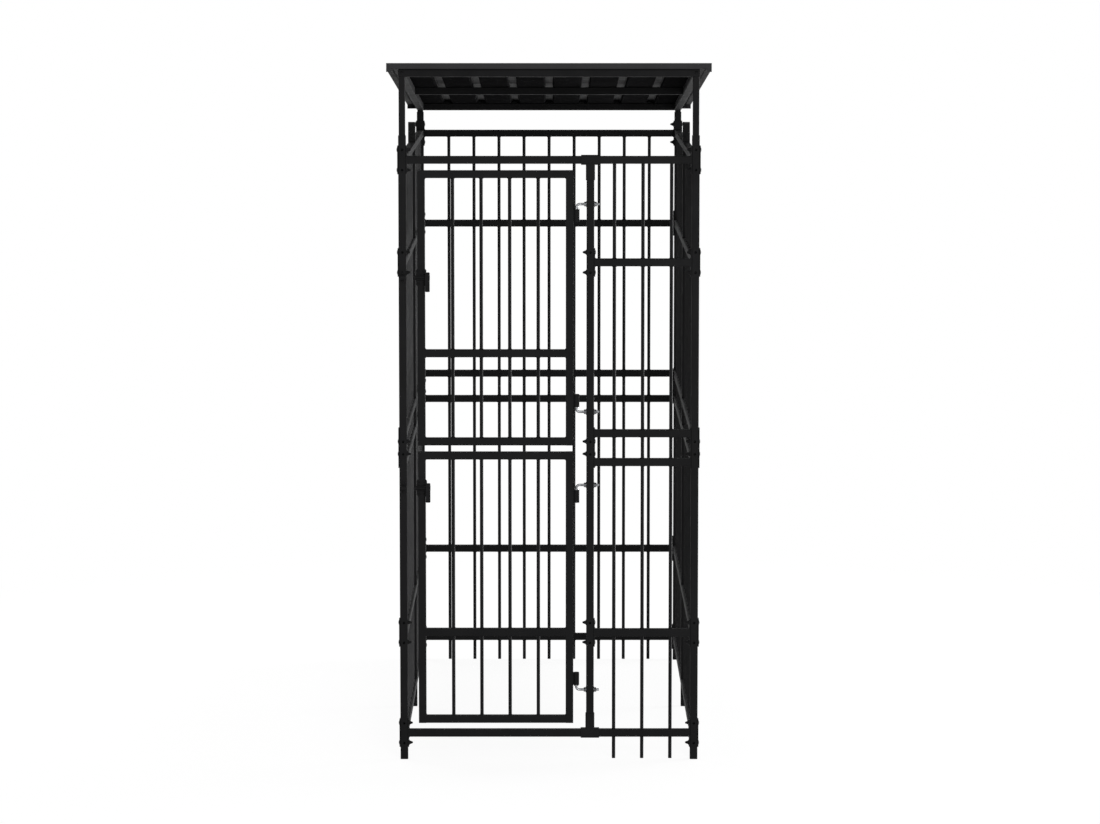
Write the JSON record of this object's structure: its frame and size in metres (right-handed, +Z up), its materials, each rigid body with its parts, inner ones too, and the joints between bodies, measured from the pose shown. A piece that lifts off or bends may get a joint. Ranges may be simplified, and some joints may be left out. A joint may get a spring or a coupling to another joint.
{
  "type": "outdoor dog kennel run",
  "caption": "Barred outdoor dog run of square steel tube with upper and lower half doors on hook hinges, slide latches and a sloped ribbed roof.",
  "frame": {"origin": "on the ground at the middle of the footprint", "axes": "+Z up, front with the doors towards -Y, roof sloping down towards +Y"},
  "size_m": [1.053, 1.9918, 2.2918],
  "materials": {
    "powder_coat": "black satin powder coat",
    "roof_paint": "dark grey satin paint",
    "zinc": "dull grey zinc plating",
    "plug_plastic": "matt black moulded plastic"
  },
  "bodies": {
    "frame": {"post_front_left": "powder_coat", "post_front_right": "powder_coat", "post_middle_left": "powder_coat", "post_middle_right": "powder_coat", "post_back_left": "powder_coat", "post_back_right": "powder_coat", "post_plugs": "plug_plastic", "front_top_rail": "powder_coat", "front_bottom_rail": "powder_coat", "divider_post": "powder_coat", "divider_top_tee": "powder_coat", "divider_bottom_tee": "powder_coat", "front_panel_upper": "powder_coat", "front_panel_lower": "powder_coat", "back_panel_upper": "powder_coat", "back_panel_lower": "powder_coat", "left_front_panel_upper": "powder_coat", "left_front_panel_lower": "powder_coat", "left_back_panel_upper": "powder_coat", "left_back_panel_lower": "powder_coat", "right_front_panel_upper": "powder_coat", "right_front_panel_lower": "powder_coat", "right_back_panel_upper": "powder_coat", "right_back_panel_lower": "powder_coat", "frame_bolts": "powder_coat", "frame_nuts": "powder_coat", "upper_hinge_hooks": "zinc", "lower_hinge_hooks": "zinc", "hinge_washers": "zinc", "hinge_nuts": "zinc", "upper_latch_keeper": "powder_coat", "lower_latch_keeper": "powder_coat", "keeper_screws": "powder_coat", "roof_post_front_left": "powder_coat", "roof_post_front_right": "powder_coat", "roof_post_back_left": "powder_coat", "roof_post_back_right": "powder_coat", "roof_post_screws": "powder_coat", "roof_rafter_left": "powder_coat", "roof_rafter_right": "powder_coat", "roof_beam_front": "powder_coat", "roof_beam_middle": "powder_coat", "roof_beam_back": "powder_coat", "roof_bolts": "powder_coat", "roof_sheet": "roof_paint", "roof_trim_front": "roof_paint", "roof_trim_back": "roof_paint", "roof_trim_left": "roof_paint", "roof_trim_right": "roof_paint", "roof_screws": "roof_paint"},
    "upper_door": {"upper_door": "powder_coat", "upper_latch_case": "powder_coat", "upper_latch_screws": "powder_coat"},
    "upper_latch_bolt": {"upper_latch_bolt": "powder_coat"},
    "lower_door": {"lower_door": "powder_coat", "lower_latch_case": "powder_coat", "lower_latch_screws": "powder_coat"},
    "lower_latch_bolt": {"lower_latch_bolt": "powder_coat"}
  },
  "joints": [
    {"name": "upper_door_hinge", "type": "hinge", "parent": "frame", "child": "upper_door", "pos_m": [0.09, -0.955, 0], "axis": [0, 0, 1], "range_deg": [-105, 105]},
    {"name": "upper_latch_slide", "type": "slide", "parent": "upper_door", "child": "upper_latch_bolt", "axis": [-1, 0, 0], "range_m": [0, 0.034]},
    {"name": "lower_door_hinge", "type": "hinge", "parent": "frame", "child": "lower_door", "pos_m": [0.09, -0.955, 0], "axis": [0, 0, 1], "range_deg": [-105, 105]},
    {"name": "lower_latch_slide", "type": "slide", "parent": "lower_door", "child": "lower_latch_bolt", "axis": [-1, 0, 0], "range_m": [0, 0.034]}
  ]
}
